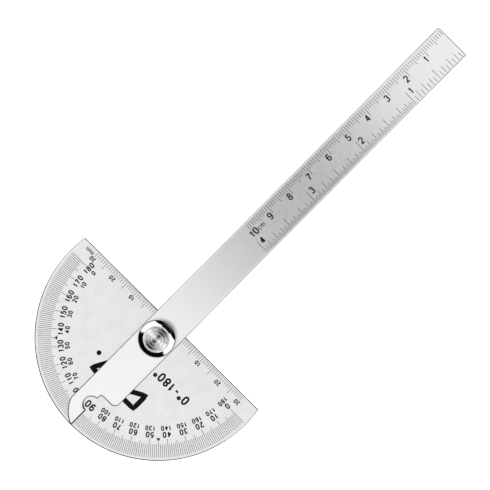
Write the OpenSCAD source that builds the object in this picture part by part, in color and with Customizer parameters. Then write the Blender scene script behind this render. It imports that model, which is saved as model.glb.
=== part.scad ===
// Pivoting-arm protractor (goniometer): a half-round head plate with a ruler arm
// that swings on a flush stud and is locked by a round thumb nut.
// Millimetres. The origin is on the pivot axis, in the plane of the back face.
// +Z points out of the scale face, +Y along the ruler arm at the 90 degree reading,
// and -Y towards the rim of the head plate.

/* [Head plate] */
// Radius of the rim of the head plate, about the pivot axis
head_r = 45; // [44:0.5:60]
// Distance from the pivot axis to the straight edge
straight_edge_y = 7; // [6:0.5:12]
// Thickness of the head plate
head_t = 1; // [0.8:0.1:1.5]
// Width and depth of the bevel round the top of the rim
rim_bevel = 0.25; // [0.25:0.05:0.4]
// Width and depth of the bevel along the straight edges of the head plate and the arm
edge_bevel = 0.2; // [0.1:0.05:0.2]

/* [Ruler arm] */
// Width of the ruler arm
arm_w = 14.3; // [13:0.1:18]
// Distance from the pivot axis to the ruled end of the arm
arm_reach = 151.5; // [140:0.5:200]
// Thickness of the ruler arm
arm_t = 1; // [0.8:0.1:1.5]
// Width of the thinned strip along the reading edge
reading_bevel_w = 0.6; // [0.3:0.1:1]

/* [Pointer] */
// Gap between the pointer's tip and the rim
tip_gap = 0.5; // [0.3:0.1:2]
// Distance from the pivot axis to the shoulder where half of the arm's width stops
shoulder_y = 29.25; // [26:0.25:30]
// Radius of the shoulder's outer corner
shoulder_r = 2.2; // [1:0.1:4]
// Radius of the window that shows the number under the pointer
window_r = 3; // [2.5:0.1:3.5]
// Distance from the pivot axis to the middle of the window
window_y = 34.3; // [33.5:0.1:35]
// Radius of the small corner where the window runs into the reading edge
window_corner_r = 0.6; // [0.3:0.1:0.8]
// Radius of the curved back of the pointer
tip_back_r = 12.6; // [12:0.1:14]
// Distance from the pivot axis to the middle of that curve, along the arm
tip_back_y = 33.15; // [32.5:0.05:34]
// How far that curve would bulge past the arm's left edge
tip_back_bulge = 0.8; // [0.6:0.05:1]

/* [Pivot stud] */
// Diameter of the stud's flush head, in the plane of the back face
stud_head_d = 8.4; // [7:0.1:10]
// Height of the stud's conical head
stud_head_h = 0.8; // [0.6:0.05:0.9]
// Diameter of the shoulder that the arm turns on
shoulder_d = 5; // [4.5:0.1:6]
// Radial clearance between the shoulder and what turns on it
running_gap = 0.03; // [0.02:0.01:0.1]
// Outer diameter of the thread
thread_d = 4; // [3:0.5:4]
// Pitch of the thread
thread_pitch = 0.7; // [0.5:0.1:0.8]
// Height of the top of the stud above the back face
stud_top = 6.6; // [6:0.1:7]

/* [Washers] */
// Thickness of the slip washer between the two plates
slip_t = 0.2; // [0.1:0.05:0.3]
// Outer diameter of the slip washer
slip_d = 11; // [8:0.5:13]
// Diameter of the foot of the clamp washer, which presses on the arm
clamp_foot_d = 10; // [9:0.1:10]
// Diameter of the flange of the clamp washer, which the nut holds captive
clamp_flange_d = 11; // [10.6:0.1:11.2]
// Thickness of the foot and of the flange of the clamp washer
clamp_step_t = 0.45; // [0.4:0.05:0.6]
// Radial clearance between the clamp washer and the thread
thread_clearance = 0.15; // [0.1:0.05:0.4]

/* [Thumb nut] */
// Diameter of the thumb nut
nut_d = 13.6; // [13.6:0.1:16]
// Height of the thumb nut's top above the arm
nut_h = 6.2; // [6.2:0.1:8]
// Radius of the polished rounding between the side and the top
nut_round = 1.75; // [1.2:0.05:1.8]
// Diameter of the turned face in the top
nut_face_d = 9; // [8:0.1:9.2]
// Depth of the turned face below the rim of the top
nut_face_depth = 0.25; // [0.1:0.05:0.5]
// Gap between the nut's base and the arm when the nut is tight
nut_gap = 0.15; // [0.1:0.05:0.25]
// Bevel round the nut's base
nut_foot_bevel = 0.3; // [0.1:0.1:0.6]
// Radial gap between the stud's thread and the wall of the nut's bore
nut_thread_gap = 0.05; // [0.03:0.01:0.08]

/* [Graduations] */
// Height of the filled graduations above the plates
mark_t = 0.03; // [0.02:0.01:0.05]
// Width of a graduation line
mark_w = 0.16; // [0.1:0.01:0.25]
// Gap between the rim and the outer ends of the degree lines
degree_margin = 1.2; // [0.8:0.1:3]
// Distance from the straight edge to the outer ends of its millimetre lines
edge_margin = 0.5; // [0.3:0.1:1]
// Distance from the pivot axis to the zero of each scale on the straight edge
edge_zero_x = 7; // [6:0.5:8]
// Length of each scale on the straight edge
edge_scale_length = 30; // [10:5:35]
// Distance from the arm's left edge to the outer ends of the millimetre lines
metric_margin = 1; // [0.5:0.1:1.5]
// Distance from the arm's right edge to the outer ends of the inch lines
inch_margin = 0.6; // [0.5:0.1:1]
// Length of the centimetre scale
metric_length = 100; // [50:10:100]
// Length of the inch scale in inches
inch_length = 4; // [1:1:4]

/* [Hidden] */
$fn = 96;

eps = 0.01;
cut = 1;
arm_z = head_t + slip_t;
arm_top = arm_z + arm_t;
shoulder_top = arm_top - 0.05;
tip_r = head_r - tip_gap;
mm_per_inch = 25.4;

// Colours of the finishes.
steel = [0.82, 0.83, 0.84];
bright_steel = [0.74, 0.75, 0.77];
chrome = [0.88, 0.89, 0.91];
nylon = [0.93, 0.93, 0.9];
black_fill = [0.06, 0.06, 0.065];

// A 45 degree cut of the given leg along a straight top edge that runs from the origin
// along +X, with its material on the -Y side and below.
module edge_cut(length, leg) {
    side = leg * sqrt(2);
    translate([-cut, 0, 0]) rotate([45, 0, 0])
        translate([0, -side / 2, -side / 2]) cube([length + 2 * cut, side, side]);
}

/* ---- head plate ---- */

// Half-round plate, bevelled round its top, with the countersunk hole for the stud.
module protractor_head() {
    half_edge = sqrt(pow(head_r, 2) - pow(straight_edge_y, 2));
    color(steel) difference() {
        rotate_extrude() polygon([
            [0, 0], [head_r, 0], [head_r, head_t - rim_bevel],
            [head_r - rim_bevel, head_t], [0, head_t]
        ]);
        translate([-head_r - cut, straight_edge_y, -cut])
            cube([2 * (head_r + cut), head_r, head_t + 2 * cut]);
        translate([-half_edge, straight_edge_y, head_t]) edge_cut(2 * half_edge, edge_bevel);
        rotate_extrude() polygon(concat(
            [[0, -cut], [stud_head_d / 2, -cut]], stud_profile(head_t + cut)
        ));
    }
}

// Half section of the stud's flush conical head and straight shoulder, up to height h.
// The hole that the stud is staked into has the same sides.
function stud_profile(h) = [
    [stud_head_d / 2, 0], [shoulder_d / 2, stud_head_h], [shoulder_d / 2, h], [0, h]
];

/* ---- pivot ---- */

// Stud staked flush into the head plate: the shoulder for the arm, then the thread, whose
// turns are rings.
module pivot_stud() {
    thread_r = thread_d / 2;
    root_r = thread_r - 0.54 * thread_pitch;
    turns = floor((stud_top - shoulder_top - thread_pitch) / thread_pitch);
    thread_side = [for (i = [0 : turns - 1]) each [
        [root_r, shoulder_top + (i + 0.5) * thread_pitch],
        [thread_r, shoulder_top + (i + 1) * thread_pitch]
    ]];
    color(bright_steel) union() {
        rotate_extrude() polygon(concat([[0, 0]], stud_profile(shoulder_top)));
        rotate_extrude() polygon(concat(
            [[0, shoulder_top - eps], [root_r, shoulder_top - eps]],
            thread_side,
            [[root_r, stud_top], [0, stud_top]]
        ));
    }
}

// Thin washer that keeps the arm clear of the graduations on the head plate.
module slip_washer() {
    color(nylon) translate([0, 0, head_t]) difference() {
        cylinder(d = slip_d, h = slip_t);
        translate([0, 0, -cut]) cylinder(r = shoulder_d / 2 + running_gap, h = slip_t + 2 * cut);
    }
}

// Stepped washer: its foot presses on the arm, and its flange is held in the nut's base.
module clamp_washer() {
    bore_r = thread_d / 2 + thread_clearance;
    color(bright_steel) difference() {
        translate([0, 0, arm_top]) {
            cylinder(d = clamp_foot_d, h = clamp_step_t + eps);
            translate([0, 0, clamp_step_t]) cylinder(d = clamp_flange_d, h = clamp_step_t);
        }
        translate([0, 0, arm_top - cut]) cylinder(r = bore_r, h = 2 * clamp_step_t + 2 * cut);
    }
}

/* ---- thumb nut ---- */

// Round blind nut with a polished rounding and a turned, slightly sunk face.
module thumb_nut() {
    nut_r = nut_d / 2;
    face_r = nut_face_d / 2;
    base_z = arm_top + nut_gap;
    top_z = arm_top + nut_h;
    lip_top = arm_top + clamp_step_t - 0.05;
    flange_top = arm_top + 2 * clamp_step_t + 0.02;
    bore_top = stud_top + 0.3;
    color(chrome) difference() {
        rotate_extrude() {
            polygon([
                [0, base_z], [nut_r - nut_foot_bevel, base_z], [nut_r, base_z + nut_foot_bevel],
                [nut_r, top_z - nut_round], [nut_r - nut_round, top_z - nut_round],
                [nut_r - nut_round, top_z], [0, top_z]
            ]);
            translate([nut_r - nut_round, top_z - nut_round]) circle(r = nut_round);
        }
        translate([0, 0, top_z - nut_face_depth])
            cylinder(r1 = face_r, r2 = face_r + nut_face_depth, h = nut_face_depth);
        translate([0, 0, top_z]) cylinder(r = face_r + nut_face_depth, h = cut);
        translate([0, 0, base_z - cut])
            cylinder(d = clamp_foot_d + 0.3, h = lip_top - base_z + cut + eps);
        translate([0, 0, lip_top]) cylinder(d = clamp_flange_d + 0.2, h = flange_top - lip_top);
        translate([0, 0, flange_top - eps])
            cylinder(r = thread_d / 2 + nut_thread_gap, h = bore_top - flange_top);
    }
}

/* ---- ruler arm ---- */

// The pointer: half the arm's width, with a curved back that runs out at the reading edge.
module pointer_outline() {
    back_x = tip_back_r - arm_w / 2 - tip_back_bulge;
    intersection() {
        translate([-arm_w / 2, -tip_r]) square([arm_w / 2, tip_r - shoulder_y + eps]);
        circle(r = tip_r);
        union() {
            translate([back_x, -tip_back_y]) circle(r = tip_back_r);
            translate([-arm_w / 2, -tip_back_y]) square([arm_w / 2, tip_back_y]);
        }
    }
}

// The strip from the shoulder to the ruled end, with one rounded corner.
module strip_outline() {
    difference() {
        translate([-arm_w / 2, -shoulder_y]) square([arm_w, shoulder_y + arm_reach]);
        translate([arm_w / 2 - shoulder_r, -shoulder_y - cut]) square(shoulder_r + cut);
    }
    translate([arm_w / 2 - shoulder_r, -shoulder_y + shoulder_r]) circle(r = shoulder_r);
}

// Outline of the arm, with the window cut and its lower corner rounded.
module arm_outline() {
    corner_reach = window_r + window_corner_r;
    corner_y = -window_y - sqrt(pow(corner_reach, 2) - pow(window_corner_r, 2));
    touch = [-window_corner_r, corner_y + window_y] * (window_r / corner_reach);
    difference() {
        union() {
            pointer_outline();
            strip_outline();
        }
        translate([0, -window_y]) circle(r = window_r);
        polygon([
            [-window_corner_r, corner_y], [cut, corner_y],
            [cut, -window_y], touch + [0, -window_y]
        ]);
    }
    translate([-window_corner_r, corner_y]) circle(r = window_corner_r);
}

// Ruler arm with its bore, bevelled ruled edges and thinned reading edge.
module ruler_arm() {
    color(steel) difference() {
        translate([0, 0, arm_z]) linear_extrude(arm_t) arm_outline();
        translate([0, 0, arm_z - cut]) cylinder(r = shoulder_d / 2 + running_gap, h = arm_t + 2 * cut);
        translate([arm_w / 2, arm_reach, arm_top]) rotate([0, 0, -90])
            edge_cut(arm_reach + shoulder_y - shoulder_r, edge_bevel);
        translate([-arm_w / 2, -window_y, arm_top]) rotate([0, 0, 90])
            edge_cut(arm_reach + window_y, edge_bevel);
        translate([-arm_w / 2, arm_reach, arm_top]) edge_cut(arm_w, edge_bevel);
        reading_edge_cut();
    }
}

// Shallow wedge that thins the reading edge next to the degree lines.
module reading_edge_cut() {
    low_y = -tip_r - cut;
    high_y = -window_y - window_r - window_corner_r;
    depth = arm_t / 2;
    translate([0, high_y, 0]) rotate([90, 0, 0]) linear_extrude(high_y - low_y)
        polygon([
            [-reading_bevel_w, arm_top], [0, arm_top - depth],
            [cut, arm_top - depth], [cut, arm_top + cut], [-reading_bevel_w, arm_top + cut]
        ]);
}

/* ---- graduations ---- */

// One line along +X from a to b, standing on height z.
module line(a, b, z) {
    translate([a, -mark_w / 2, z]) cube([b - a, mark_w, mark_t]);
}

// Length of the line at a whole degree: every tenth is longest, then every fifth.
function degree_length(a) = a % 10 == 0 ? 6.8 : a % 5 == 0 ? 5.9 : 4.9;

// Degree lines from 0 to 180, with a triangle at 45 and at 135.
module degree_marks() {
    outer = head_r - degree_margin;
    arrow_tip = outer - degree_length(5) - 0.1;
    arrow = [[arrow_tip, 0], [arrow_tip - 1.2, 0.8], [arrow_tip - 1.2, -0.8]];
    color(black_fill) {
        for (a = [0 : 180]) rotate([0, 0, -a]) line(outer - degree_length(a), outer, head_t);
        for (a = [45, 135]) rotate([0, 0, -a]) translate([0, 0, head_t])
            linear_extrude(mark_t) polygon(arrow);
    }
}

// Length of a millimetre line on the straight edge: the fives are longest.
function edge_length(i) = i % 10 == 5 ? 3.4 : i % 10 == 0 ? 2.4 : 1.8;

// Two millimetre scales that run outwards from the arm along the straight edge.
module edge_scale_marks() {
    color(black_fill)
        for (side = [-1, 1]) for (i = [1 : edge_scale_length])
            translate([side * (edge_zero_x + i), straight_edge_y, 0]) rotate([0, 0, -90])
                line(edge_margin, edge_margin + edge_length(i), head_t);
}

// Length of a millimetre line on the arm.
function metric_length_at(i) = i % 10 == 0 ? 4.1 : i % 5 == 0 ? 3.1 : 2.1;

// Centimetre scale along the arm's left edge, counted from the ruled end.
module centimetre_marks() {
    color(black_fill)
        for (i = [1 : metric_length])
            translate([-arm_w / 2 + metric_margin, arm_reach - i, 0])
                line(0, metric_length_at(i), arm_top);
}

// Length of the line at the given number of thirty-seconds of an inch.
function inch_length_at(i) = i % 32 == 0 ? 5.5 : i % 16 == 0 ? 4.6 : i % 8 == 0 ? 3.8
    : i % 4 == 0 ? 3 : i % 2 == 0 ? 2.2 : 1.6;

// Inch scale along the arm's right edge: sixteenths in the first inch, then thirty-seconds.
module inch_marks() {
    right = arm_w / 2 - inch_margin;
    color(black_fill)
        for (i = [2 : 32 * inch_length])
            if (i > 32 || i % 2 == 0)
                translate([0, arm_reach - i * mm_per_inch / 32, 0])
                    line(right - inch_length_at(i), right, arm_top);
}

protractor_head();
pivot_stud();
slip_washer();
ruler_arm();
clamp_washer();
thumb_nut();
degree_marks();
edge_scale_marks();
centimetre_marks();
inch_marks();
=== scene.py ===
"""Looks of a pivoting-arm protractor, modelled round its packed CAD frame.

The plates, the nut, the stud and the washers are modelled here with bmesh operators and stand
for their CAD nodes. The graduation lines are the CAD's own, with an enamel of this file.
Shapes are modelled in millimetres and become metres when they are finished.
"""

import math

import bmesh
import bpy
from bpy.props import FloatProperty, FloatVectorProperty, PointerProperty
from mathutils import Matrix, Vector


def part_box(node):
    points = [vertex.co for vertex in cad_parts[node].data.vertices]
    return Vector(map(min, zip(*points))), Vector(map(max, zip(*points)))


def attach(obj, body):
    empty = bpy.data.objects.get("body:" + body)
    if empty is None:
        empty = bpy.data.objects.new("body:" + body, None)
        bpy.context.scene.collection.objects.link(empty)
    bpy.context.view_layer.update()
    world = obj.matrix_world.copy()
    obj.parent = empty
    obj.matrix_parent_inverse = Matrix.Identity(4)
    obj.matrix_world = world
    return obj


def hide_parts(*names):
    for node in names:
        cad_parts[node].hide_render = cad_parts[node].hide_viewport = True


bl_info = {
    "name": "Pivoting-arm protractor",
    "version": (1, 0, 0),
    "blender": (4, 5, 0),
    "location": "3D View > Sidebar > Protractor",
    "description": "Models the plates, nut, numbers and studio of a pivoting-arm protractor",
    "category": "Add Mesh",
}

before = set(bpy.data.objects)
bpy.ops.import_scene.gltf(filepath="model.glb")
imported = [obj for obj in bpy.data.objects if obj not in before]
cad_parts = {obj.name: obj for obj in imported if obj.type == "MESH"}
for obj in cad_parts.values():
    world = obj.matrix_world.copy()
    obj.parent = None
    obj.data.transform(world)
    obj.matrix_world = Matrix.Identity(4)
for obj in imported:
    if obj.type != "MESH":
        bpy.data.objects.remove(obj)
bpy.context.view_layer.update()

MM = 0.001
X, Y, Z = 0, 1, 2
MERGE = 1e-4  # what counts as no distance
WAVE_SCALE = 0.314  # scale at which a wave texture repeats once in each unit
RIM_SEGMENTS = 5
FIGURE_GAP = 0.12  # space between figures, as a share of their height
DEEP_GROOVE = 2.2  # times the depth of the others


def node_box(node):
    """Lowest and highest corners of a CAD node, in millimetres."""
    low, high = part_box(node)
    return low / MM, high / MM


HEAD_HIGH = node_box("protractor_head")[1]
ARM_LOW, ARM_HIGH = node_box("ruler_arm")
NUT_LOW, NUT_HIGH = node_box("thumb_nut")
STUD_HIGH = node_box("pivot_stud")[1]
CLAMP_LOW, CLAMP_HIGH = node_box("clamp_washer")
SLIP_LOW, SLIP_HIGH = node_box("slip_washer")
MARK_HEIGHT = node_box("degree_marks")[1][Z] - HEAD_HIGH[Z]


# ---- settings ----


def srgb(code):
    """An sRGB hex colour, such as "#D2D4D6", as linear red, green and blue."""
    parts = [int(code[i : i + 2], 16) / 255 for i in (1, 3, 5)]
    return tuple(p / 12.92 if p <= 0.04045 else ((p + 0.055) / 1.055) ** 2.4 for p in parts)


def length(name, description, millimetres):
    """A length setting, written in millimetres and kept in metres."""
    return FloatProperty(name=name, description=description, default=millimetres * MM,
                         unit="LENGTH", precision=5)


def colour(name, description, code):
    """A colour setting, written as sRGB hex and kept as linear values."""
    return FloatVectorProperty(name=name, description=description, default=srgb(code),
                               subtype="COLOR", size=3, min=0, max=1)


def ratio(name, description, value):
    """A setting from 0 to 1."""
    return FloatProperty(name=name, description=description, default=value, subtype="FACTOR",
                         min=0, max=1)


def amount(name, description, value, unit="NONE"):
    """A setting from 0 up."""
    return FloatProperty(name=name, description=description, default=value, unit=unit, min=0)


def slope(name, description, degrees):
    """An angle setting, written in degrees and kept in radians."""
    return FloatProperty(name=name, description=description, default=math.radians(degrees),
                         subtype="ANGLE")


def mm(metres):
    """A setting's length in the millimetres that shapes are modelled in."""
    return metres / MM


class PlateSettings(bpy.types.PropertyGroup):
    """Sizes of the two sheet-metal plates, beyond those that the frame gives"""

    rim_round: length("Rim rounding", "Width of the rounded top edge of the plates", 0.6)
    rim_drop: ratio("Rim drop", "How deep the rounded edge falls, as a share of its width", 0.35)
    pointer_chamfer: length("Reading edge", "Chamfer that thins the pointer's reading edge", 0.45)
    shoulder_y: length("Shoulder", "Distance from the pivot to the shoulder of the arm", 29.25)
    shoulder_r: length("Shoulder corner", "Radius of the shoulder's outer corner", 2.2)
    window_r: length("Window", "Radius of the window that shows the number", 3.0)
    window_y: length("Window place", "Distance from the pivot to the middle of the window", 34.3)
    window_corner_r: length("Window corner", "Radius where the window meets the reading edge", 0.6)
    notch_r: length("Notch", "Radius of the inner corner between the window and the shoulder", 0.9)
    tip_back_r: length("Pointer back", "Radius of the curved back of the pointer", 12.6)
    tip_back_y: length("Back place", "Distance from the pivot to the middle of that curve", 33.15)
    tip_back_bulge: length("Back bulge", "How far that curve would pass the arm's edge", 0.8)


class PivotSettings(bpy.types.PropertyGroup):
    """Sizes of the stud, the washers and the thumb nut, beyond those that the frame gives"""

    shoulder_r: length("Stud shoulder", "Radius of the shoulder that the arm turns on", 2.5)
    running_gap: length("Running gap", "Radial clearance of what turns on the shoulder", 0.03)
    stud_head_h: length("Stud head", "Height of the stud's conical head", 0.8)
    thread_r: length("Thread", "Outer radius of the thread", 2.0)
    thread_pitch: length("Pitch", "Rise of the thread in one turn", 0.7)
    clamp_foot_r: length("Clamp foot", "Radius of the foot of the clamp washer", 5.0)
    clamp_bore_r: length("Clamp bore", "Radius of the bore of the clamp washer", 2.15)
    dome_tilt: slope("Dome tilt", "Slope of the nut's dome where it leaves the rim", 17)
    edge_tilt: slope("Edge tilt", "Slope of the nut's dome where it meets the edge", 50)
    edge_r: length("Edge rounding", "Radius of the edge between the nut's dome and its side", 0.45)
    land_r: length("Land", "Radius of the flat land round the turned face", 4.72)
    face_r: length("Turned face", "Radius of the turned face in the nut's top", 4.6)
    face_depth: length("Face depth", "Depth of the turned face below the rim", 0.25)
    groove_pitch: length("Groove pitch", "Spacing of the turning grooves in the face", 0.3)
    groove_depth: length("Groove depth", "Depth of the turning grooves in the face", 0.072)


class NumberSettings(bpy.types.PropertyGroup):
    """Heights and places of the numbers on both plates"""

    outer_h: length("Outer height", "Height of the outer row of degree numbers", 2.25)
    outer_r: length("Outer row", "Distance from the pivot to the outer row", 35.5)
    inner_h: length("Inner height", "Height of the inner row of degree numbers", 1.85)
    inner_r: length("Inner row", "Distance from the pivot to the inner row", 33.1)
    middle_h: length("Middle height", "Height of the 90 in the middle of the scale", 2.95)
    middle_r: length("Middle place", "Distance from the pivot to the 90", 34.95)
    edge_h: length("Edge height", "Height of the numbers along the straight edge", 1.7)
    edge_y: length("Edge row", "Distance from the pivot to the numbers on the straight edge", 3.4)
    arm_h: length("Arm height", "Height of the numbers on the arm", 2.85)
    metric_x: length("Metric row", "Distance from the arm's middle to its metric numbers", 2.15)
    inch_x: length("Inch row", "Distance from the arm's middle to its inch numbers", 1.95)


class FinishSettings(bpy.types.PropertyGroup):
    """Colours and polish of the finishes"""

    arm_colour: colour("Arm sheet", "Satin stainless sheet of the ruler arm", "#CFCFCF")
    head_colour: colour("Head sheet", "Etched stainless sheet of the head plate", "#CACACA")
    # The edge colour is near black: painted shade that draws the dark outline round both plates.
    edge_colour: colour("Blanked edge", "Edges of both plates", "#505152")
    sheet_roughness: ratio("Sheet roughness", "Roughness of the satin sheet", 0.2)
    turned_colour: colour("Turned steel", "Bright turned steel of stud and washer", "#C0C0C0")
    turned_roughness: ratio("Turned roughness", "Roughness of the turned steel", 0.24)
    chrome_colour: colour("Chrome", "Polished chrome plating of the nut", "#DDDDDD")
    chrome_roughness: ratio("Chrome roughness", "Roughness of the polished chrome", 0.05)
    face_roughness: ratio("Face roughness", "Roughness of the turned face of the nut", 0.17)
    ink_colour: colour("Black enamel", "Enamel in the numbers and the symbol", "#040404")
    line_colour: colour("Line enamel", "Enamel in the thin graduation lines", "#040404")
    nylon_colour: colour("Nylon", "Natural nylon of the slip washer", "#E9E6DC")


class StudioSettings(bpy.types.PropertyGroup):
    """Camera, floor and lights"""

    camera_height: length("Camera height", "Height of the camera above the arm", 380)
    camera_x: length("Camera X", "Sideways place of the camera", -1.25)
    camera_y: length("Camera Y", "Place of the camera along the arm", 46.05)
    view_width: length("View width", "Width of the view in the plane of the arm", 177.44)
    arm_lean: slope("Arm lean", "Angle of the arm above the horizontal of the view", 45.19)
    floor_colour: colour("Floor", "Plain pale floor", "#F2F2F2")
    floor_glow: amount("Floor glow", "Light that the floor gives off", 0.6)
    side_light: amount("Side softboxes", "Brightness of the boxes beside the tool", 1.5)
    front_light: amount("Front softbox", "Brightness of the box above the head", 1.55)
    back_light: amount("Back softbox", "Brightness of the box above the arm's end", 1.52)
    lens_shade: amount("Camera shade", "How much the camera takes from the light above", 1.1)
    wall_light: amount("Back wall", "Brightness of the wall behind the arm's end", 0.13)
    room_light: amount("Room", "Brightness of the dark surroundings", 0.003)
    strip_light: amount("Strip lights", "Power of each low strip light round the plates", 1.7,
                        unit="POWER")
    low_light: amount("Table light", "Brightness from straight below", 0.9)


SETTINGS = {
    "protractor_plates": PlateSettings,
    "protractor_pivot": PivotSettings,
    "protractor_numbers": NumberSettings,
    "protractor_finishes": FinishSettings,
    "protractor_studio": StudioSettings,
}


# ---- materials ----


def add(tree, kind, sockets=None, **settings):
    """Adds a node. settings are its properties; sockets maps inputs to values or to outputs."""
    node = tree.nodes.new(kind)
    for name, value in settings.items():
        setattr(node, name, value)
    for name, value in (sockets or {}).items():
        if isinstance(value, bpy.types.NodeSocket):
            tree.links.new(value, node.inputs[name])
        else:
            node.inputs[name].default_value = value
    return node


def per_mm(size):
    """Texture scale at which a pattern's features are size millimetres wide."""
    return 1 / (size * MM)


def new_material(name):
    """An empty material, its node tree and its Object coordinates, which are metres."""
    material = bpy.data.materials.new(name)
    material.use_nodes = True
    tree = material.node_tree
    tree.nodes.clear()
    place = add(tree, "ShaderNodeTexCoord").outputs["Object"]
    return material, tree, place


def finish_material(tree, sockets):
    """Adds the surface shader with the given sockets, and the output."""
    shader = add(tree, "ShaderNodeBsdfPrincipled", sockets)
    add(tree, "ShaderNodeOutputMaterial", {"Surface": shader.outputs["BSDF"]})


def noise(tree, place, size, detail, roughness=0.5):
    """Soft noise whose features are size millimetres wide."""
    return add(tree, "ShaderNodeTexNoise", {
        "Vector": place, "Scale": per_mm(size), "Detail": detail, "Roughness": roughness,
    }).outputs["Fac"]


def lathe_rings(tree, place, pitch, distortion, detail):
    """Rings round the Z axis, pitch millimetres apart."""
    return add(tree, "ShaderNodeTexWave", {
        "Vector": place, "Scale": WAVE_SCALE * per_mm(pitch), "Distortion": distortion,
        "Detail": detail,
    }, wave_type="RINGS", rings_direction="Z").outputs["Fac"]


def squeezed(tree, place, share):
    """Coordinates whose Z is multiplied by a share."""
    return add(tree, "ShaderNodeMapping", {
        "Vector": place, "Scale": (1, 1, share),
    }).outputs["Vector"]


def relief(tree, pattern, strength, depth, **below):
    """Normals of a pattern that is depth millimetres deep. below may be the Normal under it."""
    return add(tree, "ShaderNodeBump", {
        "Strength": strength, "Distance": depth * MM, "Height": pattern, **below,
    }).outputs["Normal"]


def spread(tree, value, low, high):
    """Maps a texture's middle range to the span from low to high."""
    return add(tree, "ShaderNodeMapRange", {
        "Value": value, "From Min": 0.3, "From Max": 0.7, "To Min": low, "To Max": high,
    }).outputs["Result"]


def tinted(tree, factor, base, dark_share):
    """Mixes a colour with a darker one by a texture."""
    dark = [c * dark_share for c in base]
    return add(tree, "ShaderNodeMix", {
        "Factor": factor, "A": (*dark, 1), "B": (*base, 1),
    }, data_type="RGBA", clamp_factor=True).outputs["Result"]


def satin_stainless(name, finish, base, dark_share, cloud_size):
    """Cold-rolled 304 stainless sheet, etched to a matte satin. The etch leaves a fine even
    grain and faint clouds, and the rolling leaves the sheet very slightly wavy."""
    material, tree, place = new_material(name)
    # The grain of the etch is about 0.05 mm, so it is drawn at 0.9 mm to show.
    grain = noise(tree, place, 0.9, 1)
    clouds = noise(tree, place, cloud_size, 3, 0.55)
    wavy = relief(tree, noise(tree, place, 60, 1, 0.4), 1, 0.15)
    rough = finish.sheet_roughness
    finish_material(tree, {
        "Base Color": tinted(tree, clouds, base, dark_share),
        "Metallic": 1.0,
        "Roughness": spread(tree, grain, rough - 0.01, rough + 0.01),
        "Normal": relief(tree, grain, 0.12, 0.012, Normal=wavy),
    })
    return material


def blanked_edge(finish):
    """The edge that the blanking press leaves: dull steel with fine draw marks through
    the sheet's thickness, in a near-black colour that is painted shade for the plates' dark
    outline."""
    material, tree, place = new_material("blanked_edge")
    # Draw marks are about 0.1 mm apart round the edge and run from face to face.
    marks = noise(tree, squeezed(tree, place, 0.1), 0.1, 2)
    # The dark base colour is painted shade along the plates' edges; only the draw marks are the
    # steel's own.
    finish_material(tree, {
        "Base Color": tinted(tree, marks, finish.edge_colour, 0.8),
        "Metallic": 1.0,
        "Roughness": spread(tree, marks, 0.42, 0.54),
        "Normal": relief(tree, marks, 0.3, 0.01),
    })
    return material


def turned_steel(finish):
    """Free-cutting steel, turned bright on a lathe, with fine rings round its axis."""
    material, tree, place = new_material("turned_steel")
    # The tool's feed is about 0.05 mm a turn, and is drawn at 0.14 mm to show.
    rings = lathe_rings(tree, place, 0.14, 0.4, 1)
    spots = noise(tree, place, 1.5, 3)
    rough = finish.turned_roughness
    finish_material(tree, {
        "Base Color": tinted(tree, spots, finish.turned_colour, 0.9),
        "Metallic": 1.0,
        "Roughness": spread(tree, spots, rough - 0.04, rough + 0.06),
        "Normal": relief(tree, rings, 0.4, 0.008),
    })
    return material


def polished_chrome(finish):
    """Brass, polished and chrome plated: a clean mirror with a few hairline scratches."""
    material, tree, place = new_material("polished_chrome")
    # Wiping leaves hairlines of a few micrometres, drawn here as long soft streaks.
    streaks = noise(tree, squeezed(tree, place, 6), 2.5, 4, 0.7)
    rough = finish.chrome_roughness
    finish_material(tree, {
        "Base Color": tinted(tree, streaks, finish.chrome_colour, 0.95),
        "Metallic": 1.0,
        "Roughness": spread(tree, streaks, rough, rough + 0.05),
        "Normal": relief(tree, streaks, 0.08, 0.01),
    })
    return material


def turned_chrome(finish):
    """The nut's top, faced on a lathe and then plated: fine concentric rings that fan the
    reflections out from the middle."""
    material, tree, place = new_material("turned_chrome")
    # The feed is about 0.05 mm a turn, and is drawn at 0.11 mm to show between the grooves.
    rings = lathe_rings(tree, place, 0.11, 0.6, 2)
    spots = noise(tree, place, 0.8, 3)
    rough = finish.face_roughness
    finish_material(tree, {
        "Base Color": tinted(tree, spots, finish.chrome_colour, 0.75),
        "Metallic": 1.0,
        "Roughness": spread(tree, spots, rough - 0.04, rough + 0.05),
        "Normal": relief(tree, rings, 0.5, 0.01),
    })
    return material


def enamel(name, base):
    """Stoving enamel wiped into the etched figures: near black, half matte and a little
    uneven, with pinholes at its surface."""
    material, tree, place = new_material(name)
    # Pinholes are about 0.1 mm.
    pinholes = noise(tree, place, 0.1, 2)
    finish_material(tree, {
        "Base Color": tinted(tree, noise(tree, place, 2, 2), base, 0.6),
        "Roughness": spread(tree, pinholes, 0.5, 0.66),
        "IOR": 1.5,
        "Specular IOR Level": 0.12,
        "Normal": relief(tree, pinholes, 0.3, 0.01),
    })
    return material


def natural_nylon(finish):
    """Natural nylon strip, punched: milky, slightly rough and a little cloudy."""
    material, tree, place = new_material("natural_nylon")
    clouds = noise(tree, place, 0.9, 3)
    finish_material(tree, {
        "Base Color": tinted(tree, clouds, finish.nylon_colour, 0.92),
        "Roughness": spread(tree, clouds, 0.42, 0.56),
        "IOR": 1.53,
        "Normal": relief(tree, clouds, 0.2, 0.02),
    })
    return material


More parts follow.
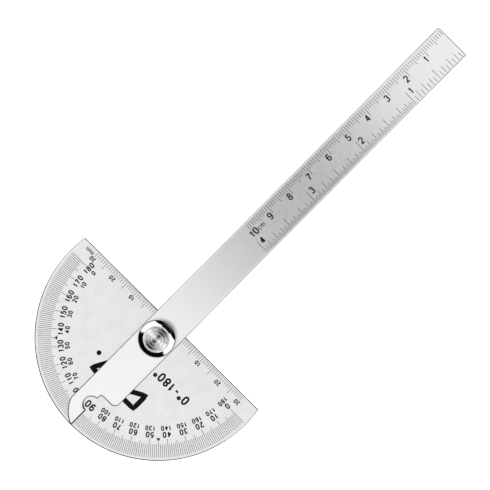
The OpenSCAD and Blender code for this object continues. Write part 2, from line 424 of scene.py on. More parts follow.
def paper_floor(studio):
    """Plain matte background paper, with a faint tooth. It is clear from below, so that the
    back of the tool can be looked at."""
    material, tree, place = new_material("background_paper")
    tooth = noise(tree, place, 1.2, 3)
    paper = add(tree, "ShaderNodeBsdfPrincipled", {
        "Base Color": tinted(tree, tooth, studio.floor_colour, 0.995),
        "Roughness": 0.9,
        "Specular IOR Level": 0.0,
        "Emission Color": (1, 1, 1, 1),
        "Emission Strength": studio.floor_glow,
    })
    clear = add(tree, "ShaderNodeBsdfTransparent")
    below = add(tree, "ShaderNodeNewGeometry").outputs["Backfacing"]
    surface = add(tree, "ShaderNodeMixShader", {"Fac": below})
    tree.links.new(paper.outputs["BSDF"], surface.inputs[1])
    tree.links.new(clear.outputs["BSDF"], surface.inputs[2])
    add(tree, "ShaderNodeOutputMaterial", {"Surface": surface.outputs["Shader"]})
    return material


def shared(name, make, *details):
    """The material of that name, made on first use."""
    return bpy.data.materials.get(name) or make(*details)


# ---- modelling ----


def finish_piece(name, shape, materials, body, nodes=(), sharp_degrees=30):
    """Turns a shape in millimetres into a piece in metres that rides on a body."""
    bmesh.ops.remove_doubles(shape, verts=shape.verts, dist=MERGE)
    bmesh.ops.recalc_face_normals(shape, faces=shape.faces)
    for face in shape.faces:
        face.smooth = True
    # A flat face ends in a sharp edge, even where it meets a gentle rounding.
    for edge in shape.edges:
        level = [abs(face.normal.z) > 0.9999 for face in edge.link_faces]
        edge.smooth = len(set(level)) == 1 and edge.calc_face_angle(0) < math.radians(sharp_degrees)
    bmesh.ops.scale(shape, vec=(MM, MM, MM), verts=shape.verts)
    mesh = bpy.data.meshes.new(name)
    for material in materials:
        mesh.materials.append(material)
    shape.to_mesh(mesh)
    shape.free()
    piece = bpy.data.objects.new(name, mesh)
    bpy.context.scene.collection.objects.link(piece)
    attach(piece, body)
    if nodes:
        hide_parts(*nodes)


def only_verts(geometry):
    """The vertices among what an operator returns."""
    return [g for g in geometry if isinstance(g, bmesh.types.BMVert)]


def line_to(shape, start, end):
    """Draws a straight edge from a vertex to a point and returns the new vertex."""
    corner = shape.verts.new((end[X], end[Y], start.co.z))
    shape.edges.new((start, corner))
    return corner


def arc_to(shape, start, centre, end, steps, clockwise=False):
    """Draws an arc about a centre from a vertex to a point's direction; returns its last vertex."""
    first = math.atan2(start.co.y - centre[Y], start.co.x - centre[X])
    last = math.atan2(end[Y] - centre[Y], end[X] - centre[X])
    turn = (last - first) % (2 * math.pi)
    if clockwise:
        turn -= 2 * math.pi
    arc = bmesh.ops.spin(shape, geom=[start], cent=(centre[X], centre[Y], start.co.z),
                         axis=(0, 0, 1), angle=turn, steps=steps)
    return only_verts(arc["geom_last"])[0]


def circles_meet(centre_a, radius_a, centre_b, radius_b):
    """The point where two circles meet, to the left when looking from a to b."""
    between = Vector(centre_b) - Vector(centre_a)
    reach = between.length
    along = (reach**2 + radius_a**2 - radius_b**2) / (2 * reach)
    aside = math.sqrt(radius_a**2 - along**2)
    unit = between / reach
    return Vector(centre_a) + unit * along + Vector((-unit.y, unit.x)) * aside


def thicken(shape, height):
    """Turns the one flat face of a shape into a slab."""
    top = bmesh.ops.extrude_face_region(shape, geom=shape.faces[:])
    bmesh.ops.translate(shape, vec=(0, 0, height), verts=only_verts(top["geom"]))
    bmesh.ops.recalc_face_normals(shape, faces=shape.faces)


def edges_at(shape, height):
    """All the edges that lie at a height."""
    return [e for e in shape.edges if all(abs(v.co.z - height) < MERGE for v in e.verts)]


def round_edges(shape, edges, offset, segments):
    """Rounds edges. One segment gives a plain chamfer."""
    bmesh.ops.bevel(shape, geom=edges, offset=offset, offset_type="OFFSET", segments=segments,
                    profile=0.5, affect="EDGES", clamp_overlap=False, material=-1)


def round_rim(shape, edges, top, width, drop):
    """Rounds a plate's top outline. drop is the rounding's depth as a share of its width."""
    round_edges(shape, edges, width, RIM_SEGMENTS)
    rounding = [v for v in shape.verts if top - width + MERGE < v.co.z < top - MERGE]
    bmesh.ops.scale(shape, vec=(1, 1, drop), verts=rounding,
                    space=Matrix.Translation((0, 0, -top)))


def ring_at(shape, radius, height, segments=96):
    """Draws a circle round the pivot axis and returns its edges."""
    circle = bmesh.ops.create_circle(shape, cap_ends=False, radius=radius, segments=segments,
                                     matrix=Matrix.Translation((0, 0, height)))
    return list({e for v in circle["verts"] for e in v.link_edges})


def finish_plate(name, shape, steel, finishes, body, node):
    """Finishes a plate. Its steep faces, which are its sides and the foot of its rim, get the
    dark blanked edge, whose colour is painted shade that outlines the plate."""
    limit = math.cos(math.radians(17))
    shape.normal_update()
    for face in shape.faces:
        if abs(face.normal.z) < limit:
            face.material_index = 1
    # Steep faces get the near-black edge: painted shade that outlines the plate.
    edge = shared("blanked_edge", blanked_edge, finishes)
    finish_piece(name, shape, [steel, edge], body, [node])


def punch(shape, rings):
    """Opens a round hole on the pivot axis. rings lists (radius, height) from the bottom up."""
    loops = [ring_at(shape, radius, height) for radius, height in rings]
    for loop, (_, height) in ((loops[0], rings[0]), (loops[-1], rings[-1])):
        level = [f for f in shape.faces if all(abs(v.co.z - height) < MERGE for v in f.verts)]
        face = max(level, key=lambda f: f.calc_area())
        border = list(face.edges)
        bmesh.ops.delete(shape, geom=[face], context="FACES_ONLY")
        bmesh.ops.triangle_fill(shape, use_beauty=True, edges=border + loop)
    for lower, upper in zip(loops, loops[1:]):
        bmesh.ops.bridge_loops(shape, edges=lower + upper)


def revolve(profile, segments=192):
    """A closed solid of revolution about the pivot axis, from (radius, height) points."""
    shape = bmesh.new()
    corners = [shape.verts.new((radius, 0, height)) for radius, height in profile]
    edges = [shape.edges.new(pair) for pair in zip(corners, corners[1:])]
    if profile[0][0] > 0:
        edges.append(shape.edges.new((corners[-1], corners[0])))
    bmesh.ops.spin(shape, geom=corners + edges, cent=(0, 0, 0), axis=(0, 0, 1),
                   angle=2 * math.pi, steps=segments, use_merge=True)
    return shape


def oval(centre, size, first, last, steps=12):
    """Points on an upright oval, from one angle in degrees to another."""
    angles = [math.radians(first + (last - first) * i / steps) for i in range(steps + 1)]
    return [(centre[X] + size[X] * math.cos(a), centre[Y] + size[Y] * math.sin(a)) for a in angles]


# ---- numbers ----


def figure_strokes():
    """The engraver's single strokes of each figure, one unit high."""
    six = oval((0.26, 0.7), (0.26, 0.3), 35, 180) + oval((0.26, 0.3), (0.26, 0.3), 180, 540, 24)
    stem, arch = [(0, 0), (0, 0.7)], oval((0.22, 0.48), (0.22, 0.22), 180, 0)
    arches = [[(x + shift, y) for x, y in arch] + [(0.44 + shift, 0)] for shift in (0, 0.44)]
    return {
        "0": [[(0.52, 0.34)] + oval((0.26, 0.66), (0.26, 0.34), 0, 180)
              + oval((0.26, 0.34), (0.26, 0.34), 180, 360)],
        "1": [[(0.06, 0.74), (0.16, 0.8), (0.26, 1), (0.26, 0)]],
        "2": [oval((0.26, 0.72), (0.25, 0.28), 170, -35) + [(0, 0), (0.54, 0)]],
        "3": [oval((0.24, 0.76), (0.23, 0.24), 160, -90),
              oval((0.24, 0.27), (0.27, 0.27), 90, -160)],
        "4": [[(0.4, 0), (0.4, 1), (0, 0.28), (0.56, 0.28)]],
        "5": [[(0.5, 1), (0.1, 1), (0.04, 0.5)] + oval((0.25, 0.32), (0.27, 0.32), 140, -155)],
        "6": [six],
        "7": [[(0, 1), (0.54, 1), (0.32, 0.55), (0.18, 0)]],
        "8": [oval((0.26, 0.76), (0.22, 0.24), 0, 360, 24),
              oval((0.26, 0.27), (0.26, 0.27), 0, 360, 24)],
        "9": [[(0.52 - x, 1 - y) for x, y in six]],
        "c": [oval((0.28, 0.35), (0.28, 0.35), 50, 310)],
        "m": [stem, *arches],
        "\u00b0": [oval((0.15, 0.85), (0.15, 0.15), 0, 360)],
        "-": [[(0, 0.42), (0.4, 0.42)]],
    }


STROKES = figure_strokes()


def full_width(points, width):
    """Adds points beside the corners of a stroke's long parts, where its ribbon would else
    taper. Points closer than half the width would fold the ribbon over."""
    eased, ease = points[:1], 0.6 * width
    for start, end in zip(points, points[1:]):
        start, end = Vector(start), Vector(end)
        reach = (end - start).length
        if reach > 2 * ease + 0.2 * width:
            step = (end - start) * (ease / reach)
            eased += [tuple(start + step), tuple(end - step)]
        eased.append(tuple(end))
    return eased


def draw_strokes(shape, strokes, width):
    """Adds strokes to a shape as flat domed ribbons, as thick as the enamel. All in millimetres."""
    curve = bpy.data.curves.new("strokes", "CURVE")
    curve.dimensions = "3D"
    curve.bevel_depth = width / 2
    curve.bevel_resolution = 1
    curve.use_fill_caps = True
    for stroke in strokes:
        closed = (Vector(stroke[0]) - Vector(stroke[-1])).length < MERGE
        points = full_width(stroke, width)
        points = points[:-1] if closed else points
        line = curve.splines.new("POLY")
        line.points.add(len(points) - 1)
        line.use_cyclic_u = closed
        for point, place in zip(line.points, points):
            point.co = (*place, 0, 1)
    pen = bpy.data.objects.new("strokes", curve)
    bpy.context.scene.collection.objects.link(pen)
    bpy.context.view_layer.update()
    graph = bpy.context.evaluated_depsgraph_get()
    mesh = bpy.data.meshes.new_from_object(pen.evaluated_get(graph))
    bpy.data.objects.remove(pen)
    bpy.data.curves.remove(curve)
    before = set(shape.verts)
    shape.from_mesh(mesh)
    bpy.data.meshes.remove(mesh)
    made = [v for v in shape.verts if v not in before]
    bmesh.ops.scale(shape, vec=(1, 1, MARK_HEIGHT / width), verts=made)
    return made


def stamp(shape, text, height, place, turn, weight=0.13):
    """Adds a text to a shape. Its middle comes to place, turn is its angle in degrees and
    weight is its stroke's share of its height."""
    width = weight * height
    tall = height - width
    strokes, reach = [], 0
    for letter in text:
        figure = STROKES[letter]
        left = min(x for stroke in figure for x, _ in stroke)
        right = max(x for stroke in figure for x, _ in stroke)
        if letter == "1":
            left, right = -0.04, 0.4
        strokes += [[(reach + (x - left) * tall, y * tall) for x, y in stroke] for stroke in figure]
        reach += (right - left) * tall + width + FIGURE_GAP * height
    reach -= width + FIGURE_GAP * height
    made = draw_strokes(shape, strokes, width)
    top = max(y for stroke in strokes for _, y in stroke)
    bmesh.ops.translate(shape, vec=(-reach / 2, -top / 2, 0), verts=made)
    bmesh.ops.rotate(shape, cent=(0, 0, 0), verts=made,
                     matrix=Matrix.Rotation(math.radians(turn), 3, "Z"))
    bmesh.ops.translate(shape, vec=(place[X], place[Y], 0), verts=made)


def print_figures(context, name, shape, height, body):
    """Lays flat figures on a plate, in black enamel."""
    ink = context.scene.protractor_finishes.ink_colour
    black = shared("black_enamel", enamel, "black_enamel", ink)
    bmesh.ops.translate(shape, vec=(0, 0, height + MARK_HEIGHT / 2), verts=shape.verts)
    finish_piece(name, shape, [black], body, sharp_degrees=60)


def polar(radius, degrees):
    """The point at a distance from the pivot and an angle from +X."""
    angle = math.radians(degrees)
    return radius * math.cos(angle), radius * math.sin(angle)


# ---- operators ----


class PROTRACTOR_OT_head_plate(bpy.types.Operator):
    """Models the half-round head plate with its rounded rim and countersunk hole"""

    bl_idname = "protractor.head_plate"
    bl_label = "Head plate"

    def execute(self, context):
        plates, pivot = context.scene.protractor_plates, context.scene.protractor_pivot
        radius, straight_y, top = HEAD_HIGH[X], HEAD_HIGH[Y], HEAD_HIGH[Z]
        shape = bmesh.new()
        bmesh.ops.create_circle(shape, cap_ends=True, radius=radius, segments=360)
        everything = shape.verts[:] + shape.edges[:] + shape.faces[:]
        bmesh.ops.bisect_plane(shape, geom=everything, plane_co=(0, straight_y, 0),
                               plane_no=(0, 1, 0), clear_outer=True)
        thicken(shape, top)
        round_rim(shape, edges_at(shape, top), top, mm(plates.rim_round), plates.rim_drop)
        shoulder_r, countersink = mm(pivot.shoulder_r), STUD_HIGH[X]
        punch(shape, [(countersink, 0), (shoulder_r, mm(pivot.stud_head_h)), (shoulder_r, top)])
        finishes = context.scene.protractor_finishes
        steel = satin_stainless("etched_stainless", finishes, finishes.head_colour,
                                dark_share=0.84, cloud_size=5)
        finish_plate("head_plate", shape, steel, finishes, "head", "protractor_head")
        return {"FINISHED"}


class PROTRACTOR_OT_arm_blade(bpy.types.Operator):
    """Models the ruler arm with its pointer, window and thinned reading edge"""

    bl_idname = "protractor.arm_blade"
    bl_label = "Ruler arm"

    def execute(self, context):
        plates, pivot = context.scene.protractor_plates, context.scene.protractor_pivot
        shape = bmesh.new()
        self.draw_outline(shape, plates)
        bottom, top = ARM_LOW[Z], ARM_HIGH[Z]
        bmesh.ops.contextual_create(shape, geom=shape.edges[:])
        bmesh.ops.translate(shape, vec=(0, 0, bottom), verts=shape.verts)
        thicken(shape, top - bottom)
        self.thin_reading_edge(shape, top, plates)
        shape.normal_update()
        outline = [e for e in edges_at(shape, top)
                   if any(abs(f.normal.z) < 0.1 for f in e.link_faces)]
        round_rim(shape, outline, top, mm(plates.rim_round), plates.rim_drop)
        bore_r = mm(pivot.shoulder_r + pivot.running_gap)
        punch(shape, [(bore_r, bottom), (bore_r, top)])
        finishes = context.scene.protractor_finishes
        steel = satin_stainless("satin_stainless", finishes, finishes.arm_colour,
                                dark_share=0.93, cloud_size=9)
        finish_plate("arm_blade", shape, steel, finishes, "arm", "ruler_arm")
        return {"FINISHED"}

    def thin_reading_edge(self, shape, top, plates):
        """Leans the pointer's reading edge back, up to where it meets the window."""
        back, spare = -mm(plates.pointer_chamfer), 0.1
        end = spare - mm(plates.window_y + plates.window_r)
        for corner in shape.verts:
            if abs(corner.co.z - top) < MERGE and corner.co.x > back and corner.co.y < end:
                corner.co.x = back

    def draw_outline(self, shape, plates):
        """Draws the arm's outline anticlockwise from the corner at its ruled end."""
        right, reach, tip_r = ARM_HIGH[X], ARM_HIGH[Y], -ARM_LOW[Y]
        window_r, corner_r = mm(plates.window_r), mm(plates.window_corner_r)
        back_r, shoulder_r = mm(plates.tip_back_r), mm(plates.shoulder_r)
        shoulder_y, notch_r = -mm(plates.shoulder_y), mm(plates.notch_r)
        window = (0, -mm(plates.window_y))
        corner_drop = math.sqrt((window_r + corner_r) ** 2 - corner_r**2)
        corner = (-corner_r, window[Y] - corner_drop)
        back = (back_r - right - mm(plates.tip_back_bulge), -mm(plates.tip_back_y))
        back_start = (-right, back[Y] - math.sqrt(back_r**2 - (right + back[X]) ** 2))
        tip_start = circles_meet(back, back_r, (0, 0), tip_r)
        if tip_start.y > back[Y]:
            tip_start = circles_meet((0, 0), tip_r, back, back_r)

        first = shape.verts.new((right, reach, 0))
        pen = line_to(shape, first, (-right, reach))
        pen = line_to(shape, pen, back_start)
        pen = arc_to(shape, pen, back, tip_start, 24)
        pen = line_to(shape, pen, (0, -tip_r))
        pen = line_to(shape, pen, (0, corner[Y]))
        pen = arc_to(shape, pen, corner, window, 8)
        pen = arc_to(shape, pen, window, (0, window[Y] + window_r), 36, clockwise=True)
        pen = line_to(shape, pen, (0, shoulder_y - notch_r))
        pen = arc_to(shape, pen, (notch_r, shoulder_y - notch_r), (notch_r, shoulder_y), 6,
                     clockwise=True)
        pen = line_to(shape, pen, (right - shoulder_r, shoulder_y))
        pen = arc_to(shape, pen, (right - shoulder_r, shoulder_y + shoulder_r),
                     (right, shoulder_y + shoulder_r), 12)
        shape.edges.new((pen, first))


class PROTRACTOR_OT_pivot_parts(bpy.types.Operator):
    """Models the threaded stud and the two washers"""

    bl_idname = "protractor.pivot_parts"
    bl_label = "Stud and washers"

    def execute(self, context):
        pivot, finishes = context.scene.protractor_pivot, context.scene.protractor_finishes
        steel = shared("turned_steel", turned_steel, finishes)
        finish_piece("threaded_stud", self.stud(pivot), [steel], "head",
                     ["pivot_stud"])
        finish_piece("captive_washer", self.clamp_washer(pivot), [steel], "washer",
                     ["clamp_washer"])
        nylon = shared("natural_nylon", natural_nylon, finishes)
        finish_piece("nylon_washer", self.slip_washer(pivot), [nylon], "head",
                     ["slip_washer"])
        return {"FINISHED"}

    def stud(self, pivot):
        """Stud with a flush head that has a small centre mark, a shoulder and a thread."""
        head_r, shoulder_r, crest = STUD_HIGH[X], mm(pivot.shoulder_r), mm(pivot.thread_r)
        pitch, edge, chamfer = mm(pivot.thread_pitch), 0.06, 0.15
        root = crest - 0.54 * pitch
        shoulder_top, end = ARM_HIGH[Z] - 0.05, STUD_HIGH[Z]
        mark_r, mark_depth = 0.35, 0.25
        profile = [(0, mark_depth), (mark_r, 0), (head_r - edge, 0), (head_r, edge)]
        profile += [(shoulder_r, mm(pivot.stud_head_h)), (shoulder_r, shoulder_top - edge)]
        profile += [(shoulder_r - edge, shoulder_top), (root, shoulder_top)]
        turns = int((end - shoulder_top - pitch) / pitch)
        for turn in range(turns):
            low = shoulder_top + (turn + 0.5) * pitch
            profile += [(root, low), (crest, low + 0.4 * pitch), (crest, low + 0.6 * pitch)]
        profile += [(root, shoulder_top + (turns + 0.5) * pitch)]
        profile += [(root, end - chamfer), (root - chamfer, end)]
        return revolve(profile + [(0, end)], 96)

    def clamp_washer(self, pivot):
        """Stepped washer with softened edges."""
        bore, foot, flange = mm(pivot.clamp_bore_r), mm(pivot.clamp_foot_r), CLAMP_HIGH[X]
        low, high, edge = CLAMP_LOW[Z], CLAMP_HIGH[Z], 0.06
        step = (low + high) / 2
        return revolve([
            (bore, low + edge), (bore + edge, low), (foot - edge, low), (foot, low + edge),
            (foot, step), (flange - edge, step), (flange, step + edge), (flange, high - edge),
            (flange - edge, high), (bore + edge, high), (bore, high - edge),
        ], 128)

    def slip_washer(self, pivot):
        """Thin punched washer, slightly rounded at its upper edges."""
        bore, rim, edge = mm(pivot.shoulder_r + pivot.running_gap), SLIP_HIGH[X], 0.04
        low, high = SLIP_LOW[Z], SLIP_HIGH[Z]
        return revolve([
            (bore, low), (rim, low), (rim, high - edge), (rim - edge, high),
            (bore + edge, high), (bore, high - edge),
        ], 128)


class PROTRACTOR_OT_thumb_nut(bpy.types.Operator):
    """Models the round nut with its polished rounding and its grooved, turned face"""

    bl_idname = "protractor.thumb_nut"
    bl_label = "Thumb nut"

    def execute(self, context):
        pivot, finishes = context.scene.protractor_pivot, context.scene.protractor_finishes
        shape = revolve(self.face(pivot) + self.outside(pivot) + self.inside(pivot), 192)
        chrome = shared("polished_chrome", polished_chrome, finishes)
        turned = shared("turned_chrome", turned_chrome, finishes)
        face_floor = NUT_HIGH[Z] - mm(pivot.face_depth) - DEEP_GROOVE * mm(pivot.groove_depth)
        for face in shape.faces:
            middle = face.calc_center_median()
            if middle.z > face_floor and middle.xy.length < mm(pivot.face_r):
                face.material_index = 1
        finish_piece("round_nut", shape, [chrome, turned], "nut", ["thumb_nut"],
                     sharp_degrees=15)
        return {"FINISHED"}

    def face(self, pivot):
        """The sunk face from the middle out: sharp turning grooves of uneven depth, a land and
        the flare. Every fourth groove is much deeper."""
        floor, face_r, top = NUT_HIGH[Z] - mm(pivot.face_depth), mm(pivot.face_r), NUT_HIGH[Z]
        pitch, depth = mm(pivot.groove_pitch), mm(pivot.groove_depth)
        points = [(0, floor)]
        for groove in range(int(face_r / pitch)):
            cut = depth * (DEEP_GROOVE if groove % 4 == 2 else 1 + 0.25 * math.sin(2.3 * groove))
            points += [((groove + 0.5) * pitch, floor - cut), ((groove + 1) * pitch, floor)]
        land = mm(pivot.land_r)
        return points + [(land - 0.03, floor), (land, floor + 0.03), (land + 0.04, top - 0.03)]

    def outside(self, pivot):
        """The rim, the polished dome, the rounded edge, the side and the foot. The dome is an
        arc whose slope grows from dome_tilt at the rim to edge_tilt at the edge."""
        nut_r, top, base, foot_r = NUT_HIGH[X], NUT_HIGH[Z], NUT_LOW[Z], 0.3
        inner, outer = pivot.dome_tilt, pivot.edge_tilt
        rim_r, edge_r = mm(pivot.land_r) + 0.1, mm(pivot.edge_r)
        run = nut_r - rim_r - edge_r * (1 - math.sin(outer))
        dome = run / (math.sin(outer) - math.sin(inner))
        centre = (rim_r - dome * math.sin(inner), top - dome * math.cos(inner))
        edge = (nut_r - edge_r, centre[1] + (dome - edge_r) * math.cos(outer))
        first, last = 90 - math.degrees(inner), 90 - math.degrees(outer)
        return ([(rim_r - 0.03, top)] + oval(centre, (dome, dome), first, last, 18)
                + oval(edge, (edge_r, edge_r), last, 0, 10)[1:]
                + oval((nut_r - foot_r, base + foot_r), (foot_r, foot_r), 0, -90, 6))

    def inside(self, pivot):
        """The recess for the captive washer, and the threaded bore."""
        base, flange_r = NUT_LOW[Z], CLAMP_HIGH[X] + 0.1
        lip_r, lip_top = mm(pivot.clamp_foot_r) + 0.15, (CLAMP_LOW[Z] + CLAMP_HIGH[Z]) / 2 - 0.05
        recess_top, bore_r = CLAMP_HIGH[Z] + 0.02, mm(pivot.thread_r) + 0.05
        bore_top = STUD_HIGH[Z] + 0.29
        return [
            (lip_r + 0.05, base), (lip_r, base + 0.05), (lip_r, lip_top), (flange_r, lip_top),
            (flange_r, recess_top), (bore_r + 0.15, recess_top), (bore_r, recess_top + 0.15),
            (bore_r, bore_top), (0, bore_top),
        ]


class PROTRACTOR_OT_scale_lines(bpy.types.Operator):
    """Fills the frame's graduation lines with enamel"""

    bl_idname = "protractor.scale_lines"
    bl_label = "Scale lines"

    def execute(self, context):
        finishes = context.scene.protractor_finishes
        fill = shared("line_enamel", enamel, "line_enamel", finishes.line_colour)
        for node in ("degree_marks", "edge_scale_marks", "centimetre_marks", "inch_marks"):
            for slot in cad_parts[node].material_slots:
                slot.material = fill
        return {"FINISHED"}


class PROTRACTOR_OT_head_numbers(bpy.types.Operator):
    """Prints the degree numbers and the numbers along the straight edge"""

    bl_idname = "protractor.head_numbers"
    bl_label = "Head numbers"

    def execute(self, context):
        numbers = context.scene.protractor_numbers
        top = HEAD_HIGH[Z]
        degrees = bmesh.new()
        for value in range(0, 190, 10):
            turn = 270 - value
            if value == 90:
                stamp(degrees, "90", mm(numbers.middle_h), (0, -mm(numbers.middle_r)), turn, 0.2)
                continue
            outer, inner = (polar(mm(r), -value) for r in (numbers.outer_r, numbers.inner_r))
            stamp(degrees, str(value), mm(numbers.outer_h), outer, turn, 0.21)
            stamp(degrees, str(180 - value), mm(numbers.inner_h), inner, turn, 0.22)
        print_figures(context, "degree_numbers", degrees, top, "head")

        edge, zero, unit_place = bmesh.new(), 6.9, (-39.7, 5.0)
        for value in (10, 20, 30):
            for side in (-1, 1):
                place = (side * (zero + value), mm(numbers.edge_y))
                stamp(edge, str(value), mm(numbers.edge_h), place, 180, 0.22)
        stamp(edge, "mm", 1.75, unit_place, 180, 0.17)
        print_figures(context, "edge_numbers", edge, top, "head")
        return {"FINISHED"}


class PROTRACTOR_OT_arm_numbers(bpy.types.Operator):
    """Prints the centimetre and inch numbers on the arm"""

    bl_idname = "protractor.arm_numbers"
    bl_label = "Arm numbers"

    def execute(self, context):
        numbers = context.scene.protractor_numbers
        reach, height = ARM_HIGH[Y], mm(numbers.arm_h)
        metric_x, after_line = -mm(numbers.metric_x), 1.6
        inch, before_line = 25.4, 1.9
        figures = bmesh.new()
        for value in range(1, 10):
            place = (metric_x, reach - 10 * value - after_line)
            stamp(figures, str(value), height, place, 90, 0.17)
        ten_place, unit_place = (metric_x, reach - 99.9), (-1.8, reach - 96.35)
        stamp(figures, "10", height, ten_place, 90, 0.18)
        stamp(figures, "cm", 1.9, unit_place, 90, 0.15)
        for value in range(1, 5):
            place = (mm(numbers.inch_x), reach - inch * value + before_line)
            stamp(figures, str(value), height, place, 90, 0.2 if value == 4 else 0.17)
        print_figures(context, "arm_numbers", figures, ARM_HIGH[Z], "arm")
        return {"FINISHED"}


class PROTRACTOR_OT_symbol(bpy.types.Operator):
    """Prints a plain set-square symbol and the range of the scale on the head plate"""

    bl_idname = "protractor.symbol"
    bl_label = "Symbol and range"

    def execute(self, context):
        shape = bmesh.new()
        set_square = [(11.8, -18.2), (11.8, -24.7), (0, -24.7), (11.8, -18.2)]
        angle = [(-6.5, -19.4), (-9.4, -24.7), (-3, -24.7)]
        dot = oval((-11.3, -19.1), (0.45, 0.45), 0, 360)
        bold_width, dot_width, range_place = 1.9, 0.92, (16.2, -9.4)
        draw_strokes(shape, [set_square, angle], bold_width)
        draw_strokes(shape, [dot], dot_width)
        stamp(shape, "0\u00b0-180\u00b0", 3.6, range_place, 180, 0.2)
        print_figures(context, "set_square_symbol", shape, HEAD_HIGH[Z], "head")
        return {"FINISHED"}


class PROTRACTOR_OT_studio(bpy.types.Operator):
    """Sets up the floor, the softboxes, the surroundings and the camera"""

    bl_idname = "protractor.studio"
    bl_label = "Studio"

    def execute(self, context):
        studio = context.scene.protractor_studio
        self.lay_floor(studio)
        self.light(context, studio)
        self.ring_plates(context, studio)
        self.aim_camera(context, studio)
        context.scene.view_settings.view_transform = "Standard"
        return {"FINISHED"}

    def lay_floor(self, studio):
        """Lays a wide floor just under the tool, which curves up far away. Reflections and
        shadows pass it, so that the plates' edges stand out and their backs are lit."""
        shape, reach, gap = bmesh.new(), 3, 0.02 * MM
        bmesh.ops.create_circle(shape, cap_ends=True, radius=reach, segments=96)
        wall = bmesh.ops.extrude_edge_only(shape, edges=[e for e in shape.edges if e.is_boundary])
        bmesh.ops.translate(shape, vec=(0, 0, reach), verts=only_verts(wall["geom"]))
        corner = [e for e in shape.edges if all(v.co.z < MERGE for v in e.verts)]
        round_edges(shape, corner, reach / 2, 12)
        bmesh.ops.translate(shape, vec=(0, 0, -gap), verts=shape.verts)
        mesh = bpy.data.meshes.new("floor")
        shape.to_mesh(mesh)
        shape.free()
        mesh.shade_smooth()
        mesh.materials.append(paper_floor(studio))
        floor = bpy.data.objects.new("floor", mesh)
        bpy.context.scene.collection.objects.link(floor)
        floor.visible_glossy = False
        floor.visible_shadow = False

    def light(self, context, studio):
        """Surrounds the tool with softboxes, given by their directions. Those beside it reach
        from high up to the horizon; those above its head and its far end stay high. The camera
        takes a round patch from them, and a faint wall stands behind the far end."""
        world = bpy.data.worlds.new("softboxes")
        world.use_nodes = True
        tree = world.node_tree
        tree.nodes.clear()
        direction = add(tree, "ShaderNodeTexCoord").outputs["Generated"]
        axes = add(tree, "ShaderNodeSeparateXYZ", {"Vector": direction}).outputs

        def maths(operation, first, second=0.0):
            node = add(tree, "ShaderNodeMath", {0: first, 1: second}, operation=operation)
            return node.outputs[0]

        def between(angle, low, high, soft=4.0):
            """1 where an angle lies between two others, in degrees, with soft ends."""
            ends = []
            for start, end in ((low - soft, low + soft), (high + soft, high - soft)):
                ends.append(add(tree, "ShaderNodeMapRange", {
                    "Value": angle, "From Min": start, "From Max": end,
                }, interpolation_type="SMOOTHSTEP").outputs["Result"])
            return maths("MULTIPLY", *ends)

        # tilt is the angle from straight up, side the angle from +X or -X towards +Y, back the
        # angle towards +Y and off_lens the angle from the camera.
        degrees, lens_tilt = math.degrees(1), math.radians(3.9)
        tilt = maths("MULTIPLY", maths("ARCCOSINE", axes["Z"]), degrees)
        aside = maths("ABSOLUTE", axes["X"])
        side = maths("MULTIPLY", maths("ARCTAN2", axes["Y"], aside), degrees)
        back = maths("MULTIPLY", maths("ARCSINE", axes["Y"]), degrees)
        towards = add(tree, "ShaderNodeVectorMath", {
            0: direction, 1: (0, math.sin(lens_tilt), math.cos(lens_tilt)),
        }, operation="DOT_PRODUCT").outputs["Value"]
        off_lens = maths("MULTIPLY", maths("ARCCOSINE", towards), degrees)
        beside = maths("MULTIPLY", between(side, -26, 64), between(back, -90, 36))
        boxes = (
            (studio.side_light, between(tilt, 28, 88), beside),
            (studio.front_light, between(tilt, -20, 28), between(back, -90, 4)),
            (studio.back_light, between(tilt, -20, 28), between(back, 4, 90)),
            (-studio.lens_shade, between(off_lens, -20, 6.4, 2.3), 1.0),
            (studio.wall_light, between(back, 66, 100, 12), between(tilt, 0, 100)),
            (studio.low_light, between(tilt, 130, 200), 1.0),
        )
        total = studio.room_light
        for strength, height, width in boxes:
            patch = maths("MULTIPLY", height, width)
            total = maths("ADD", total, maths("MULTIPLY", patch, strength))
        sky = add(tree, "ShaderNodeBackground", {"Color": (1, 1, 1, 1), "Strength": total})
        add(tree, "ShaderNodeOutputWorld", {"Surface": sky.outputs["Background"]})
        context.scene.world = world

    def ring_plates(self, context, studio):
        """Stands low strip lights round the tool. They reach the plates only, which would else
        turn dark when seen from the side, and leave the nut its dark bands."""
        plates = bpy.data.collections.new("plates")
        for name in ("head_plate", "arm_blade"):
            plates.objects.link(bpy.data.objects[name])
        count, distance, height = 8, 1.2, 0.32
        outwards, upright = Matrix.Translation((0, -distance, height)), math.radians(90)
        for step in range(count):
            strip = bpy.data.lights.new("strip", "AREA")
            strip.shape, strip.size, strip.size_y = "RECTANGLE", 1.0, 0.6
            strip.energy = studio.strip_light
            stand = bpy.data.objects.new("strip", strip)
            context.scene.collection.objects.link(stand)
            turn = Matrix.Rotation(math.radians(360 * step / count), 4, "Z")
            stand.matrix_world = turn @ outwards @ Matrix.Rotation(upright, 4, "X")
            stand.visible_camera = False
            stand.light_linking.receiver_collection = plates

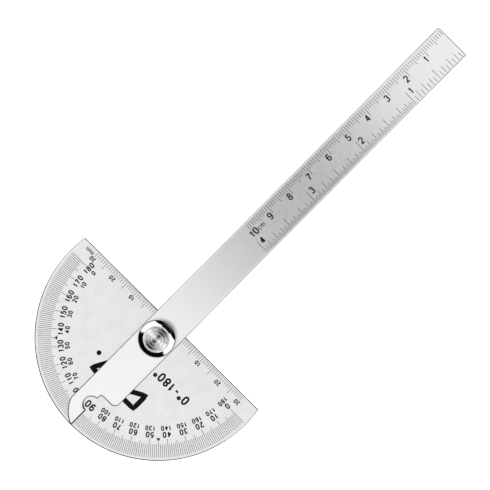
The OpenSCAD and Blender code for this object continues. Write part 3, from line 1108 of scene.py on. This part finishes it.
    def aim_camera(self, context, studio):
        """Looks straight down, with the arm leaning up to the right."""
        sensor = 36
        lens = bpy.data.cameras.new("camera")
        lens.sensor_width = sensor
        lens.lens = sensor * studio.camera_height / studio.view_width
        lens.clip_start = 0.01
        camera = bpy.data.objects.new("camera", lens)
        context.scene.collection.objects.link(camera)
        height = ARM_HIGH[Z] * MM + studio.camera_height
        turn = Matrix.Rotation(math.radians(90) - studio.arm_lean, 4, "Z")
        camera.matrix_world = Matrix.Translation((studio.camera_x, studio.camera_y, height)) @ turn
        context.scene.camera = camera


class PROTRACTOR_PT_sidebar(bpy.types.Panel):
    """Sidebar panel of the protractor"""

    bl_label = "Protractor"
    bl_space_type = "VIEW_3D"
    bl_region_type = "UI"
    bl_category = "Protractor"

    def draw(self, context):
        for operator in OPERATORS:
            self.layout.operator(operator.bl_idname)
        for name, group in SETTINGS.items():
            box = self.layout.box()
            box.label(text=group.__doc__)
            for setting in group.__annotations__:
                box.prop(getattr(context.scene, name), setting)


OPERATORS = (
    PROTRACTOR_OT_head_plate,
    PROTRACTOR_OT_arm_blade,
    PROTRACTOR_OT_pivot_parts,
    PROTRACTOR_OT_thumb_nut,
    PROTRACTOR_OT_scale_lines,
    PROTRACTOR_OT_head_numbers,
    PROTRACTOR_OT_arm_numbers,
    PROTRACTOR_OT_symbol,
    PROTRACTOR_OT_studio,
)


def register():
    """Registers the settings, the operators and the panel."""
    for name, group in SETTINGS.items():
        bpy.utils.register_class(group)
        setattr(bpy.types.Scene, name, PointerProperty(type=group))
    for kind in (*OPERATORS, PROTRACTOR_PT_sidebar):
        bpy.utils.register_class(kind)


def unregister():
    """Takes back what register did."""
    for kind in reversed((*OPERATORS, PROTRACTOR_PT_sidebar)):
        bpy.utils.unregister_class(kind)
    for name, group in SETTINGS.items():
        delattr(bpy.types.Scene, name)
        bpy.utils.unregister_class(group)


def main():
    """Makes every piece and the studio."""
    register()
    bpy.ops.protractor.head_plate()
    bpy.ops.protractor.arm_blade()
    bpy.ops.protractor.pivot_parts()
    bpy.ops.protractor.thumb_nut()
    bpy.ops.protractor.scale_lines()
    bpy.ops.protractor.head_numbers()
    bpy.ops.protractor.arm_numbers()
    bpy.ops.protractor.symbol()
    bpy.ops.protractor.studio()


if __name__ == "__main__":
    main()
